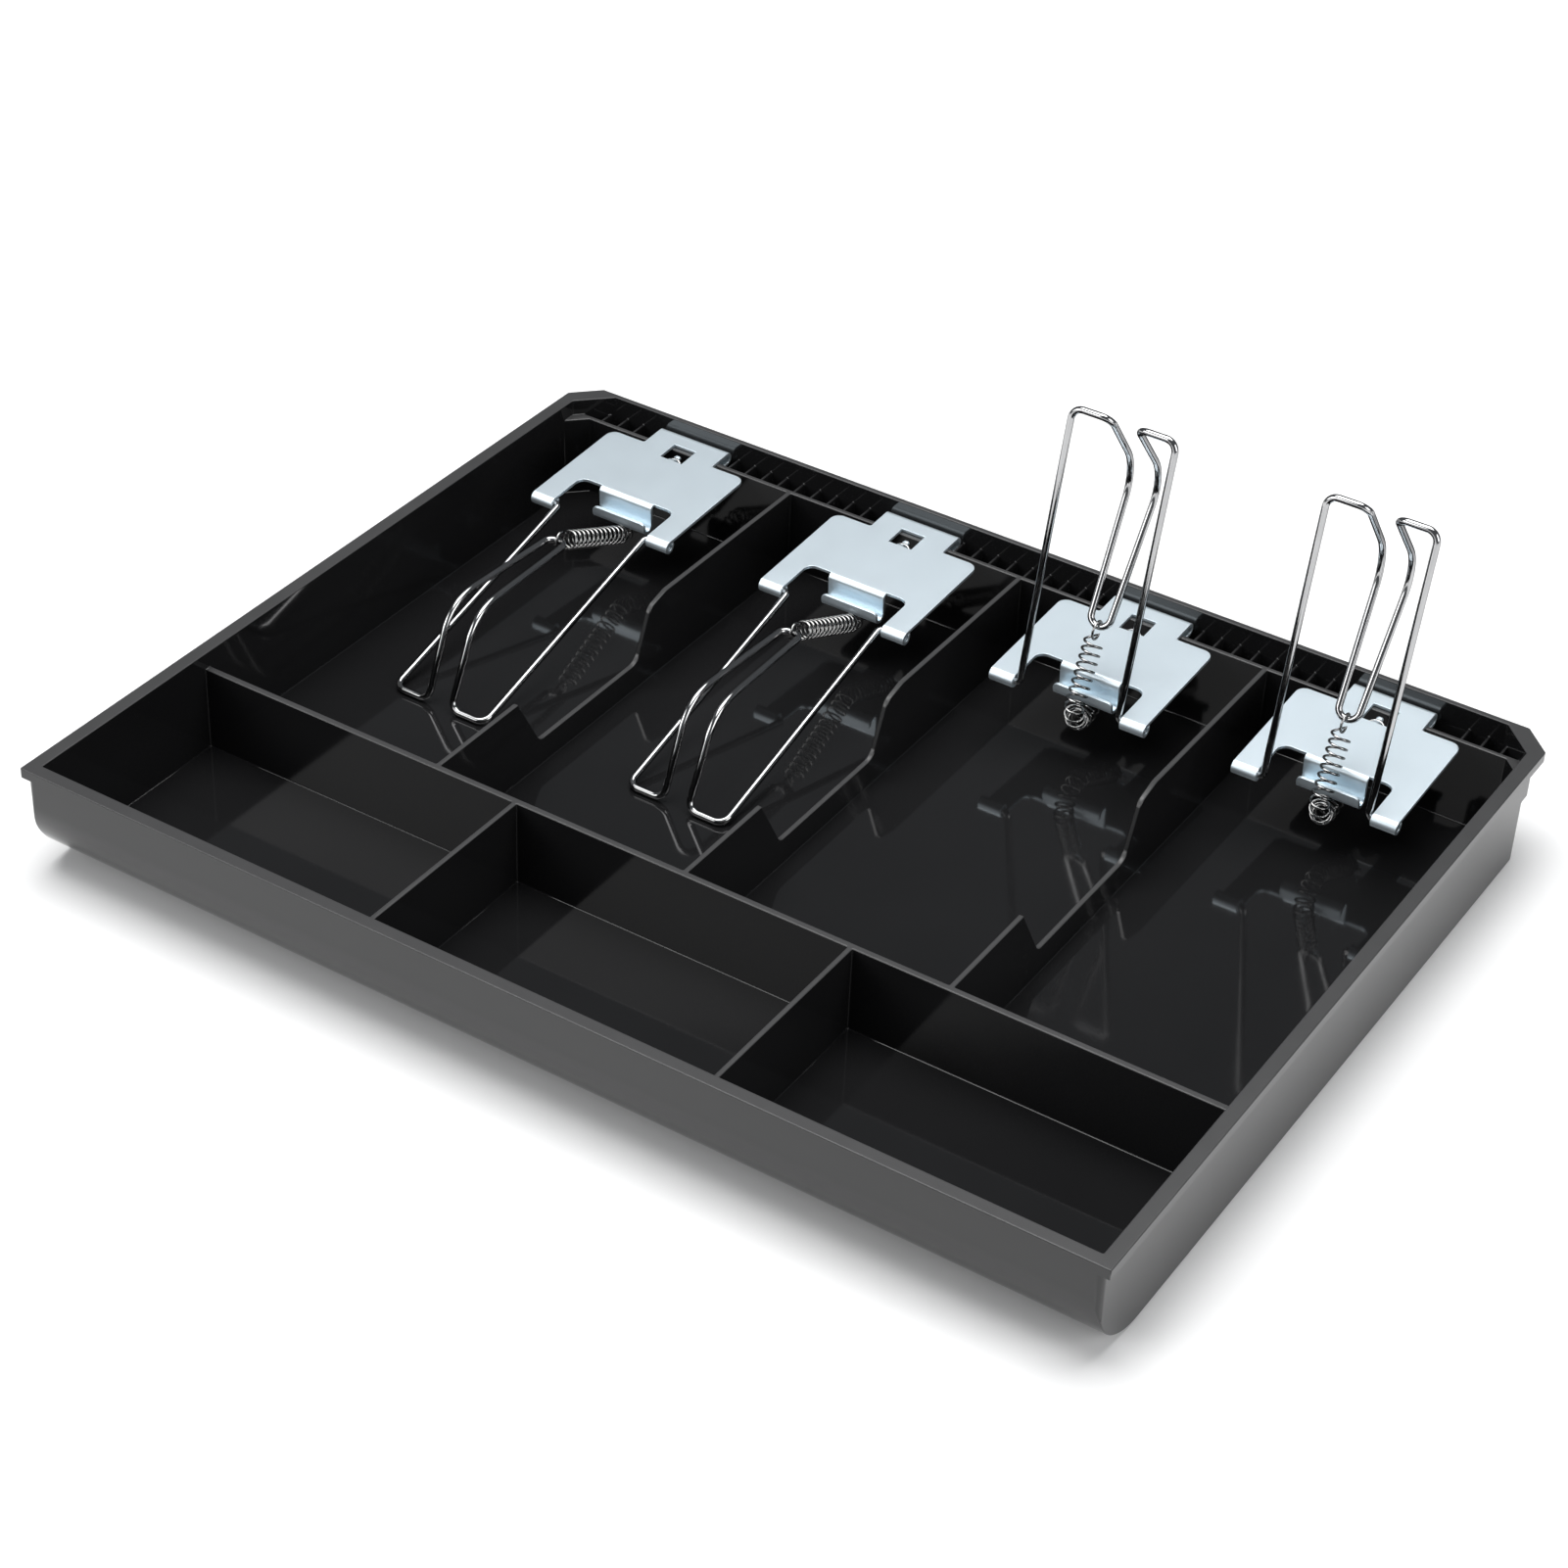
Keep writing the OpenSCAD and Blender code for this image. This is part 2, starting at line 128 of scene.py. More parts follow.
# ---------------------------------------------------------------- mesh helpers
def make_object(name, bm, material, smooth=32):
    bmesh.ops.scale(bm, vec=(MM, MM, MM), verts=bm.verts)
    mesh = bpy.data.meshes.new(name)
    bm.to_mesh(mesh)
    bm.free()
    mesh.materials.append(material)
    obj = bpy.data.objects.new(name, mesh)
    bpy.context.scene.collection.objects.link(obj)
    mesh.shade_smooth()
    mesh.set_sharp_from_angle(angle=math.radians(smooth))
    return obj


def prism(bm, outline, lo, hi, axis="Z"):
    """Adds a closed bar with this outline: (x, y) along Z, or (y, z) along X."""
    def at(p, t):
        return (p[0], p[1], t) if axis == "Z" else (t, p[0], p[1])
    ends = [[bm.verts.new(at(p, t)) for p in outline] for t in (lo, hi)]
    bm.faces.new(ends[0][::-1])
    bm.faces.new(ends[1])
    n = len(outline)
    for i in range(n):
        j = (i + 1) % n
        bm.faces.new((ends[0][i], ends[0][j], ends[1][j], ends[1][i]))


def block(bm, lo, hi):
    prism(bm, [(lo[0], lo[1]), (hi[0], lo[1]), (hi[0], hi[1]), (lo[0], hi[1])], lo[2], hi[2])


def loose(bm, name="tool"):
    bmesh.ops.recalc_face_normals(bm, faces=bm.faces)
    mesh = bpy.data.meshes.new(name)
    bm.to_mesh(mesh)
    bm.free()
    obj = bpy.data.objects.new(name, mesh)
    bpy.context.scene.collection.objects.link(obj)
    return obj


def combine(target, tool, operation):
    """Applies a boolean of tool to target and removes tool."""
    mod = target.modifiers.new("boolean", "BOOLEAN")
    mod.object, mod.operation, mod.solver = tool, operation, "EXACT"
    graph = bpy.context.evaluated_depsgraph_get()
    mesh = bpy.data.meshes.new_from_object(target.evaluated_get(graph))
    target.modifiers.clear()
    old, target.data = target.data, mesh
    bpy.data.meshes.remove(old)
    bpy.data.objects.remove(tool)


def arc(centre, r, a0, a1, n):
    return [(centre[0] + r * math.cos(math.radians(a0 + (a1 - a0) * i / n)),
             centre[1] + r * math.sin(math.radians(a0 + (a1 - a0) * i / n))) for i in range(n + 1)]


def rounded(corners, n=6):
    """An outline of corners (x, y, radius), with each corner that has a radius rounded."""
    out = []
    for i, (x, y, r) in enumerate(corners):
        b = Vector((x, y))
        if not r:
            out.append(tuple(b))
            continue
        u = (Vector(corners[i - 1][:2]) - b).normalized()
        v = (Vector(corners[(i + 1) % len(corners)][:2]) - b).normalized()
        half = u.angle(v) / 2
        mid = b + (u + v).normalized() * r / math.sin(half)
        start = b + u * r / math.tan(half) - mid
        turn = -math.copysign(math.pi - 2 * half, u.x * v.y - u.y * v.x)
        out += [tuple(mid + Matrix.Rotation(turn * k / n, 2) @ start) for k in range(n + 1)]
    return out


def plan(hw, front, back, chamfer, front_r=0):
    return rounded([(-hw, front, front_r), (hw, front, front_r), (hw, back - chamfer, 0),
                    (hw - chamfer, back, 0), (-hw + chamfer, back, 0), (-hw, back - chamfer, 0)])


def fillet_path(points, radii, n=10):
    """A line through 3D points, rounded at each inner one."""
    out = [points[0]]
    for i in range(1, len(points) - 1):
        b = points[i]
        u, v = (points[i - 1] - b).normalized(), (points[i + 1] - b).normalized()
        half = u.angle(v) / 2
        r = radii[i - 1]
        mid = b + (u + v).normalized() * (r / math.sin(half))
        start = b + u * (r / math.tan(half)) - mid
        axis = u.cross(v).normalized()
        total = math.pi - 2 * half
        steps = max(2, math.ceil(n * total / (math.pi / 2)))
        out += [mid + Matrix.Rotation(-total * k / steps, 3, axis) @ start for k in range(steps + 1)]
    return out + [points[-1]]


def sweep(bm, path, r, sides):
    """Round wire along path, closed and rounded at both ends."""
    clean = [path[0]]
    for p in path[1:]:
        if (p - clean[-1]).length > 1e-4:
            clean.append(p)
    path = clean
    tangents = []
    for i in range(len(path)):
        a, b = path[max(i - 1, 0)], path[min(i + 1, len(path) - 1)]
        before = (path[i] - a).normalized() if i else Vector()
        after = (b - path[i]).normalized() if i < len(path) - 1 else Vector()
        tangents.append((before + after).normalized())
    side = tangents[0].orthogonal().normalized()
    rings = []

    def ring(centre, tangent, radius):
        nonlocal side
        side = (side - tangent * side.dot(tangent)).normalized()
        up = tangent.cross(side)
        return [bm.verts.new(centre + radius * (side * math.cos(2 * math.pi * k / sides)
                                                + up * math.sin(2 * math.pi * k / sides)))
                for k in range(sides)]

    ends = [(0.0, 0.55), (0.12, 0.8), (0.35, 1.0)]
    for back, share in ends[:-1]:
        rings.append(ring(path[0] + tangents[0] * back * r, tangents[0], r * share))
    start = path[0] + tangents[0] * ends[-1][0] * r
    stop = path[-1] - tangents[-1] * ends[-1][0] * r
    for i, p in enumerate(path):
        q = start if i == 0 else stop if i == len(path) - 1 else p
        rings.append(ring(q, tangents[i], r))
    for back, share in ends[-2::-1]:
        rings.append(ring(path[-1] - tangents[-1] * back * r, tangents[-1], r * share))
    for a, b in zip(rings, rings[1:]):
        for k in range(sides):
            m = (k + 1) % sides
            bm.faces.new((a[k], a[m], b[m], b[k]))
    bm.faces.new(rings[0][::-1])
    bm.faces.new(rings[-1])


# ---------------------------------------------------------------- materials
def new_material(name):
    m = bpy.data.materials.new(name)
    m.use_nodes = True
    tree = m.node_tree
    return m, tree, tree.nodes["Principled BSDF"]


def noise(tree, scale, detail=3.0, stretch=(1, 1, 1), rough=0.5):
    coord = tree.nodes.new("ShaderNodeTexCoord")
    mapping = tree.nodes.new("ShaderNodeMapping")
    mapping.inputs["Scale"].default_value = stretch
    tex = tree.nodes.new("ShaderNodeTexNoise")
    tex.inputs["Scale"].default_value = scale
    tex.inputs["Detail"].default_value = detail
    tex.inputs["Roughness"].default_value = rough
    tree.links.new(coord.outputs["Object"], mapping.inputs["Vector"])
    tree.links.new(mapping.outputs["Vector"], tex.inputs["Vector"])
    return tex.outputs["Fac"]


def spread(tree, fac, lo, hi, low=0.3, high=0.7):
    """Maps a noise to the range lo to hi."""
    node = tree.nodes.new("ShaderNodeMapRange")
    node.inputs["From Min"].default_value = low
    node.inputs["From Max"].default_value = high
    node.inputs["To Min"].default_value = lo
    node.inputs["To Max"].default_value = hi
    tree.links.new(fac, node.inputs["Value"])
    return node.outputs["Result"]


def tint(tree, fac, dark, light):
    node = tree.nodes.new("ShaderNodeMix")
    node.data_type = "RGBA"
    node.inputs["A"].default_value = (*dark, 1)
    node.inputs["B"].default_value = (*light, 1)
    tree.links.new(fac, node.inputs["Factor"])
    return node.outputs["Result"]


def bump(tree, shader, height, strength, distance):
    node = tree.nodes.new("ShaderNodeBump")
    node.inputs["Strength"].default_value = strength
    node.inputs["Distance"].default_value = distance
    tree.links.new(height, node.inputs["Height"])
    tree.links.new(node.outputs["Normal"], shader.inputs["Normal"])


def above(tree, value, low, high):
    """Goes from 0 to 1 as value, a length in millimetres, goes from low to high."""
    return spread(tree, value, 0, 1, low * MM, high * MM)


def maths(tree, operation, a, b):
    node = tree.nodes.new("ShaderNodeMath")
    node.operation = operation
    tree.links.new(a, node.inputs[0])
    tree.links.new(b, node.inputs[1])
    return node.outputs["Value"]


def painted_top_light(tree):
    """Mask of the painted light: 1 on the upward edges of the rim, the dividers and the dips, and 0 on
    walls, floors and ribs. These tops get a lighter grey colour that stands in for the light they catch.
    """
    normal = tree.nodes.new("ShaderNodeSeparateXYZ")
    place = tree.nodes.new("ShaderNodeSeparateXYZ")
    tree.links.new(tree.nodes.new("ShaderNodeNewGeometry").outputs["Normal"], normal.inputs["Vector"])
    tree.links.new(tree.nodes.new("ShaderNodeTexCoord").outputs["Object"], place.inputs["Vector"])
    upward = spread(tree, normal.outputs["Z"], 0, 1, 0.3, 0.6)
    raised = above(tree, place.outputs["Z"], DIP_Z - 1.5, DIP_Z - 1)
    before_channel = above(tree, place.outputs["Y"], CHANNEL_BACK + 0.5, CHANNEL_BACK - 0.5 - CHANNEL_D)
    on_rim = above(tree, place.outputs["Z"], DIVIDER_TOP - 0.6, DIVIDER_TOP - 0.4)
    either = maths(tree, "MAXIMUM", before_channel, on_rim)
    return maths(tree, "MULTIPLY", maths(tree, "MULTIPLY", upward, raised), either)


def mixed(tree, fac, a, b, kind):
    node = tree.nodes.new("ShaderNodeMix")
    node.data_type = kind
    tree.links.new(fac, node.inputs["Factor"])
    tree.links.new(a, node.inputs["A"])
    if isinstance(b, (int, float)):
        node.inputs["B"].default_value = b
    else:
        tree.links.new(b, node.inputs["B"])
    return node.outputs["Result"]


def black_plastic():
    m, tree, shader = new_material("black moulded plastic")
    # painted light mask: lighter colour on the upward tops, for the light that falls on them
    lit_tops = painted_top_light(tree)
    deep = tint(tree, noise(tree, 18, 4), (0.0085, 0.0085, 0.009), (0.0125, 0.0125, 0.013))
    painted_lit_grey = tint(tree, noise(tree, 90, 4), (0.036, 0.036, 0.037), (0.052, 0.052, 0.053))
    # painted light: the upward tops are coloured a lighter grey for the light they catch, and are given a
    # rougher finish
    tree.links.new(mixed(tree, lit_tops, deep, painted_lit_grey, "RGBA"), shader.inputs["Base Color"])
    gloss = spread(tree, noise(tree, 30, 3), 0.045, 0.075)
    tree.links.new(mixed(tree, lit_tops, gloss, 0.38, "FLOAT"), shader.inputs["Roughness"])
    shader.inputs["IOR"].default_value = 1.53
    bump(tree, shader, noise(tree, 9, 2), 0.02, 0.0004)
    return m


def zinc():
    m, tree, shader = new_material("zinc plated sheet")
    grain = noise(tree, 60, 5, rough=0.6)
    tree.links.new(tint(tree, grain, (0.77, 0.87, 0.93), (0.785, 0.88, 0.94)), shader.inputs["Base Color"])
    tree.links.new(spread(tree, noise(tree, 140, 4), 0.44, 0.46), shader.inputs["Roughness"])
    shader.inputs["Metallic"].default_value = 0.9
    bump(tree, shader, noise(tree, 700, 3, stretch=(1, 4, 1)), 0.02, 0.0001)
    return m


def bright_metal(name, tone_noise, dark, light, gloss_noise, gloss):
    m, tree, shader = new_material(name)
    tree.links.new(tint(tree, noise(tree, tone_noise, 3), dark, light), shader.inputs["Base Color"])
    tree.links.new(spread(tree, noise(tree, gloss_noise, 3), *gloss), shader.inputs["Roughness"])
    shader.inputs["Metallic"].default_value = 1.0
    shader.inputs["Specular Tint"].default_value = (0, 0, 0, 1)
    return m


def pale_floor():
    m, tree, shader = new_material("pale floor")
    tree.links.new(tint(tree, noise(tree, 3, 2), (0.93, 0.93, 0.93), (0.95, 0.95, 0.95)),
                   shader.inputs["Base Color"])
    shader.inputs["Roughness"].default_value = 0.8
    return m


BLACK = black_plastic()
ZINC = zinc()
CHROME = bright_metal("chromed wire", 80, (0.43, 0.43, 0.435), (0.54, 0.54, 0.545), 220, (0.06, 0.13))
STEEL = bright_metal("bright spring steel", 150, (0.36, 0.36, 0.36), (0.47, 0.47, 0.465), 400, (0.06, 0.11))


# ---------------------------------------------------------------- the tray
def tray_body():
    side = arc((BODY_FRONT + FRONT_R, FRONT_R), FRONT_R, 180, 270, 40)
    side += [(BODY_BACK, 0), (BODY_BACK, TRAY_H), (BODY_FRONT, TRAY_H)]
    bm = bmesh.new()
    prism(bm, side, -TRAY_W, TRAY_W, "X")
    body = loose(bm, "tray_body_mesh")

    bm = bmesh.new()
    prism(bm, plan(BODY_HW, BODY_FRONT, BODY_BACK, BODY_CHAMFER, CORNER_R), -5, TRAY_H + 5)
    combine(body, loose(bm), "INTERSECT")

    # below the channel the body is shallower
    bm = bmesh.new()
    back, front = LOWER_BACK, LOWER_BACK - LOWER_CHAMFER - 5
    prism(bm, [(BODY_HW + 5, front), (TRAY_W, front), (TRAY_W, TRAY_D), (-TRAY_W, TRAY_D),
               (-TRAY_W, front), (-BODY_HW - 5, front),
               (-BODY_HW + LOWER_CHAMFER, back), (BODY_HW - LOWER_CHAMFER, back)], -5, CHANNEL_Z)
    combine(body, loose(bm), "DIFFERENCE")

    bm = bmesh.new()
    prism(bm, plan(TRAY_W / 2, FRONT_Y, TRAY_D / 2, LIP_CHAMFER), TRAY_H - LIP_T, TRAY_H)
    combine(body, loose(bm), "UNION")
    return body


def hollow(body):
    top = TRAY_H + 5
    bm = bmesh.new()
    scoop = arc((INNER_FRONT + SCOOP_R, FLOOR + SCOOP_R), SCOOP_R, 180, 270, 32)
    back = CROSS_MID - CROSS_T / 2
    for left, right in zip(COIN_WALLS, COIN_WALLS[1:]):
        prism(bm, scoop + [(back, FLOOR), (back, top), (INNER_FRONT, top)],
              left + DIVIDER_T / 2, right - DIVIDER_T / 2, "X")
    front = CROSS_MID + CROSS_T / 2
    for i in (-1.5, -0.5, 0.5, 1.5):
        x0, x1 = i * NOTE_PITCH - NOTE_W / 2, i * NOTE_PITCH + NOTE_W / 2
        outline = [(x0, front), (x1, front), (x1, BACK_WALL_Y), (x0, BACK_WALL_Y)]
        if i > 1:
            outline[2:3] = corner_cut(x1)
        if i < -1:
            outline[3:4] = [(-x, y) for x, y in reversed(corner_cut(-x0))]
        prism(bm, outline, FLOOR, top)
    combine(body, loose(bm), "DIFFERENCE")

    bm = bmesh.new()
    prism(bm, plan(INNER_HW, INNER_FRONT, CHANNEL_BACK, INNER_CHAMFER), DIVIDER_TOP, top)
    combine(body, loose(bm), "DIFFERENCE")

    # the channel behind the back wall
    bm = bmesh.new()
    y = BACK_WALL_Y + BACK_WALL_T
    x = INNER_HW - INNER_CHAMFER + CHANNEL_BACK - y
    prism(bm, [(-x, y), (x, y), (INNER_HW - INNER_CHAMFER, CHANNEL_BACK),
               (INNER_CHAMFER - INNER_HW, CHANNEL_BACK)], CHANNEL_FLOOR, top)
    combine(body, loose(bm), "DIFFERENCE")

    # the finger dip that crosses the note dividers
    bm = bmesh.new()
    y0, y1 = FRONT_Y + DIP_FRONT, FRONT_Y + DIP_BACK
    dip = [(y0 - 10, DIVIDER_TOP + 1, 0), (y0 - 10, DIVIDER_TOP, 0.8), (y0, DIP_Z, 3), (y1, DIP_Z, 4),
           (y1 + 6.5, DIVIDER_TOP - 2, 4), (y1 + 14.5, DIVIDER_TOP + 0.01, 0),
           (y1 + 14.5, DIVIDER_TOP + 1, 0)]
    prism(bm, rounded(dip, 8), -1.5 * NOTE_PITCH, 1.5 * NOTE_PITCH, "X")
    combine(body, loose(bm), "DIFFERENCE")


def corner_cut(hw):
    """Where the tray's inside corner cuts a note bay's back corner."""
    return [(hw, BACK_WALL_Y - LOWER_INNER_CHAMFER), (hw - LOWER_INNER_CHAMFER, BACK_WALL_Y)]


def ribs(body):
    bm = bmesh.new()
    bite = 0.2
    places = [d * NOTE_PITCH + k * RIB_PITCH for d in (-1, 0, 1) for k in range(-4, 5)]
    places += [s * (NOTE_PITCH + k * RIB_PITCH) for s in (-1, 1) for k in (10, 11, 12)]
    for x in places:
        block(bm, (x - RIB_T / 2, BACK_WALL_Y + BACK_WALL_T - bite, CHANNEL_FLOOR - bite),
              (x + RIB_T / 2, CHANNEL_BACK + bite, DIVIDER_TOP - 1))
    combine(body, loose(bm), "UNION")


def at_height(vert, z):
    return abs(vert.co.z - z) < 0.01


def build_tray():
    body = tray_body()
    hollow(body)
    ribs(body)
    bm = bmesh.new()
    bm.from_mesh(body.data)
    bmesh.ops.remove_doubles(bm, verts=bm.verts, dist=0.002)
    bmesh.ops.dissolve_limit(bm, angle_limit=math.radians(0.6), verts=bm.verts, edges=bm.edges)
    bpy.data.objects.remove(body)
    # the top of the rim, as plain faces from its outer edge to its inner one
    rim = [f for f in bm.faces if all(at_height(v, TRAY_H) for v in f.verts)]
    bmesh.ops.delete(bm, geom=rim, context="FACES")
    bmesh.ops.bridge_loops(bm, edges=[e for e in bm.edges if e.is_boundary])
    bmesh.ops.recalc_face_normals(bm, faces=bm.faces)
    # every sharp edge is softened, except round the underside of the lip
    weight = bm.edges.layers.float.new("bevel_weight_edge")
    for e in bm.edges:
        under_lip = all(at_height(v, TRAY_H - LIP_T) for v in e.verts)
        e[weight] = float(e.calc_face_angle() > math.radians(28) and not under_lip)
    tray = make_object("tray_moulding", bm, BLACK)
    soft = tray.modifiers.new("soft edges", "BEVEL")
    soft.width, soft.segments, soft.limit_method = 0.32 * MM, 3, "WEIGHT"
    soft.use_clamp_overlap = False
    soft.miter_outer = "MITER_ARC"
    weld = tray.modifiers.new("doubled corners", "WELD")
    weld.merge_threshold = 0.001 * MM
    even = tray.modifiers.new("flat faces", "WEIGHTED_NORMAL")
    even.keep_sharp, even.weight = True, 90
    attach(tray, "tray_body")
    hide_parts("tray")


# ---------------------------------------------------------------- the clip plates
def strip(bm, left, right, steps):
    """Goes on from the edge left-right through steps of (y, z, half width)."""
    x = (left.co.x + right.co.x) / 2
    for y, z, hw in steps:
        a, b = bm.verts.new((x - hw, y, z)), bm.verts.new((x + hw, y, z))
        bm.faces.new((left, right, b, a))
        left, right = a, b


def bent(centre, r, a0, a1, hw, n):
    return [(y, z, hw) for y, z in arc(centre, r, a0, a1, n)[1:]]


def taper(path, hw, r):
    """Rounds the last corners of a strip."""
    lengths = [0.0]
    for a, b in zip(path, path[1:]):
        lengths.append(lengths[-1] + math.dist(a[:2], b[:2]))
    out = []
    for (y, z, _), s in zip(path, lengths):
        left = r - (lengths[-1] - s)
        shrink = r - math.sqrt(max(r * r - left * left, 0)) if left > 0 else 0
        out.append((y, z, hw - shrink))
    return out


def build_plate(name, x):
    mid = SHEET_TOP - SHEET / 2
    hw, arm = PLATE_HW, PLATE_HW - ARM_W
    outline = rounded([
        (-hw, HINGE_Y, 0), (-arm, HINGE_Y, 0), (-arm, SLOT_Y, 3), (-TONGUE_HW, SLOT_Y, 0),
        (TONGUE_HW, SLOT_Y, 0), (arm, SLOT_Y, 3), (arm, HINGE_Y, 0), (hw, HINGE_Y, 0),
        (hw, SHOULDER_Y, 3), (TAB_HW, SHOULDER_Y, 0.8), (TAB_HW, TAB_END, 0),
        (-TAB_HW, TAB_END, 0), (-TAB_HW, SHOULDER_Y, 0.8), (-hw, SHOULDER_Y, 3)])
    w = WINDOW_W / 2
    window = [(-w, WINDOW_Y), (-ANCHOR_HW, WINDOW_Y), (ANCHOR_HW, WINDOW_Y), (w, WINDOW_Y),
              (w, WINDOW_Y + WINDOW_W), (-w, WINDOW_Y + WINDOW_W)]
    bm = bmesh.new()
    loops = []
    for line in (outline, window):
        verts = [bm.verts.new((x + px, py, mid)) for px, py in line]
        loops.append(verts)
        for i, v in enumerate(verts):
            bm.edges.new((verts[i - 1], v))
    bmesh.ops.triangle_fill(bm, use_beauty=True, edges=bm.edges[:])
    for f in bm.faces:
        if f.normal.z < 0:
            f.normal_flip()

    def vert(px, py, loop=0):
        return min(loops[loop], key=lambda v: (v.co.x - x - px) ** 2 + (v.co.y - py) ** 2)

    half = SHEET / 2
    for s in (-1, 1):
        a, b = sorted((s * hw, s * arm))
        strip(bm, vert(a, HINGE_Y), vert(b, HINGE_Y),
              bent((HINGE_Y, HINGE_Z), BORE_R + half, 90, 385, ARM_W / 2, 30))
    r = BEND_R - half
    path = [(SLOT_Y, mid, TONGUE_HW)] + bent((SLOT_Y, SHEET_TOP - BEND_R), r, 90, 180, TONGUE_HW, 8)
    path += [(CURL.y + CURL_R - half, CURL.z, TONGUE_HW)]
    path += bent((CURL.y, CURL.z), CURL_R - half, 0, -180, TONGUE_HW, 20)
    path += [(CURL.y - CURL_R + half, CURL.z + CURL_LIP * k / 5, TONGUE_HW) for k in range(1, 6)]
    strip(bm, vert(-TONGUE_HW, SLOT_Y), vert(TONGUE_HW, SLOT_Y), taper(path, TONGUE_HW, TONGUE_END_R)[1:])
    r = HOOK_R - half
    path = [(TAB_END, mid, TAB_HW)] + bent((TAB_END, SHEET_TOP - HOOK_R), r, 90, -90, TAB_HW, 16)
    end_y, end_z, _ = path[-1]
    path += [(end_y - HOOK_TAIL * k / 6, end_z, TAB_HW) for k in range(1, 7)]
    strip(bm, vert(TAB_HW, TAB_END), vert(-TAB_HW, TAB_END),
          [(y, z, -h) for y, z, h in taper(path, TAB_HW, TAB_END_R)[1:]])
    r = BEND_R - half
    slope = math.radians(ANCHOR_SLOPE)
    root = (WINDOW_Y, SHEET_TOP - BEND_R)
    path = bent(root, r, 90, 90 - ANCHOR_SLOPE, ANCHOR_HW, 5)
    y, z, _ = path[-1]
    y, z = y + ANCHOR_L * math.cos(slope), z - ANCHOR_L * math.sin(slope)
    path.append((y, z, ANCHOR_HW))
    trough = ANCHOR_R + half
    centre = (y + trough * math.sin(slope), z + trough * math.cos(slope))
    path += bent(centre, trough, 270 - ANCHOR_SLOPE, 370, ANCHOR_HW, 12)
    strip(bm, vert(ANCHOR_HW, WINDOW_Y, 1), vert(-ANCHOR_HW, WINDOW_Y, 1),
          [(y, z, -h) for y, z, h in taper(path, ANCHOR_HW, ANCHOR_END_R)])
    bmesh.ops.recalc_face_normals(bm, faces=bm.faces)
    bmesh.ops.rotate(bm, cent=PLATE_REST, matrix=Matrix.Rotation(PLATE_LEAN, 3, "X"), verts=bm.verts)
    plate = make_object(name + "_sheet", bm, ZINC, 40)
    thick = plate.modifiers.new("thickness", "SOLIDIFY")
    thick.thickness, thick.offset, thick.use_even_offset = SHEET * MM, 0, True
    edge = plate.modifiers.new("pressed edges", "BEVEL")
    edge.width, edge.segments, edge.limit_method = 0.13 * MM, 2, "ANGLE"
    edge.angle_limit = math.radians(50)
    edge.use_clamp_overlap = False
    even = plate.modifiers.new("flat faces", "WEIGHTED_NORMAL")
    even.keep_sharp, even.weight = True, 90
    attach(plate, "tray_body")
    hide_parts(name)


# ---------------------------------------------------------------- the wire clips
def clip_turn(clip):
    """The turn of the clip's legs from pointing level to the front."""
    if LOWERED[clip]:
        return math.asin((HINGE[clip].z - FLOOR - WIRE_R - WIRE_GAP) / LEG_L)
    return -math.radians(90 + RAISED_LEAN)


def in_place(clip, p):
    return HINGE[clip] + Matrix.Rotation(clip_turn(clip), 3, "X") @ p


def build_clip(clip, name):
    half = [PIN, LEG, FOOT, FOOT_INNER, KNEE, EYE]
    points = half + [Vector((-p.x, p.y, p.z)) for p in reversed(half)]
    path = fillet_path(points, WIRE_BENDS + WIRE_BENDS[::-1])
    bm = bmesh.new()
    sweep(bm, [in_place(clip, p) for p in path], WIRE_R, 20)
    wire = make_object(name + "_bent_wire", bm, CHROME, 60)
    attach(wire, clip)
    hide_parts(name)


# ---------------------------------------------------------------- the springs
ACROSS = Vector((1, 0, 0))


def side_point(y, z):
    return Vector((0, y, z))


def leaned(p):
    """Where a point of the level plate comes to when the plate leans."""
    return PLATE_REST + Matrix.Rotation(PLATE_LEAN, 3, "X") @ (p - PLATE_REST)


def spring_axis(clip):
    """The coil's middle line from the clip's eye, round the tongue and back to the anchor.

    With it come the centres of both end loops, and the slope of the loop in the window.
    """
    slack = 0 if LOWERED[clip] else SLACK
    eye = in_place(clip, EYE)
    eye.x = 0
    guide = leaned(CURL) - Vector((0, 0, slack))
    r = GUIDE_R + slack
    to_guide = guide - eye
    lead = math.atan2(to_guide.z, to_guide.y) - math.asin(r / to_guide.length)
    ahead = side_point(math.cos(lead), math.sin(lead))
    eye_loop = eye + ahead * (COIL_R - COIL_WIRE_R - WIRE_R - 0.1)
    tail = leaned(side_point(WINDOW_Y - 1.4, SHEET_TOP - 4.1))
    to_tail = tail - guide
    leave = math.atan2(to_tail.z, to_tail.y) - math.acos(r / to_tail.length)
    touch = lead - math.pi / 2
    turn = (leave - touch + 3 * math.pi) % (2 * math.pi) - math.pi
    line = [eye_loop + ahead * COIL_R]
    line += [guide + r * side_point(math.cos(touch + turn * k / 40), math.sin(touch + turn * k / 40))
             for k in range(41)]
    line.append(tail)
    tilt = math.radians(35)
    hook = side_point(WINDOW_Y + 2.65 - COIL_R * math.cos(tilt), SHEET_TOP - 1.2 - COIL_R * math.sin(tilt))
    return line, eye_loop, leaned(hook), tilt + PLATE_LEAN


def resample(line, step):
    """Points at even steps along a line, each with its share of the way, and the line's length."""
    lengths = np.cumsum([0] + [(b - a).length for a, b in zip(line, line[1:])])
    n = max(2, round(lengths[-1] / step))
    out = []
    for s in np.linspace(0, lengths[-1], n + 1):
        i = min(int(np.searchsorted(lengths, s, side="right")) - 1, len(line) - 2)
        t = (s - lengths[i]) / (lengths[i + 1] - lengths[i])
        out.append((line[i].lerp(line[i + 1], t), s / lengths[-1]))
    return out, lengths[-1]


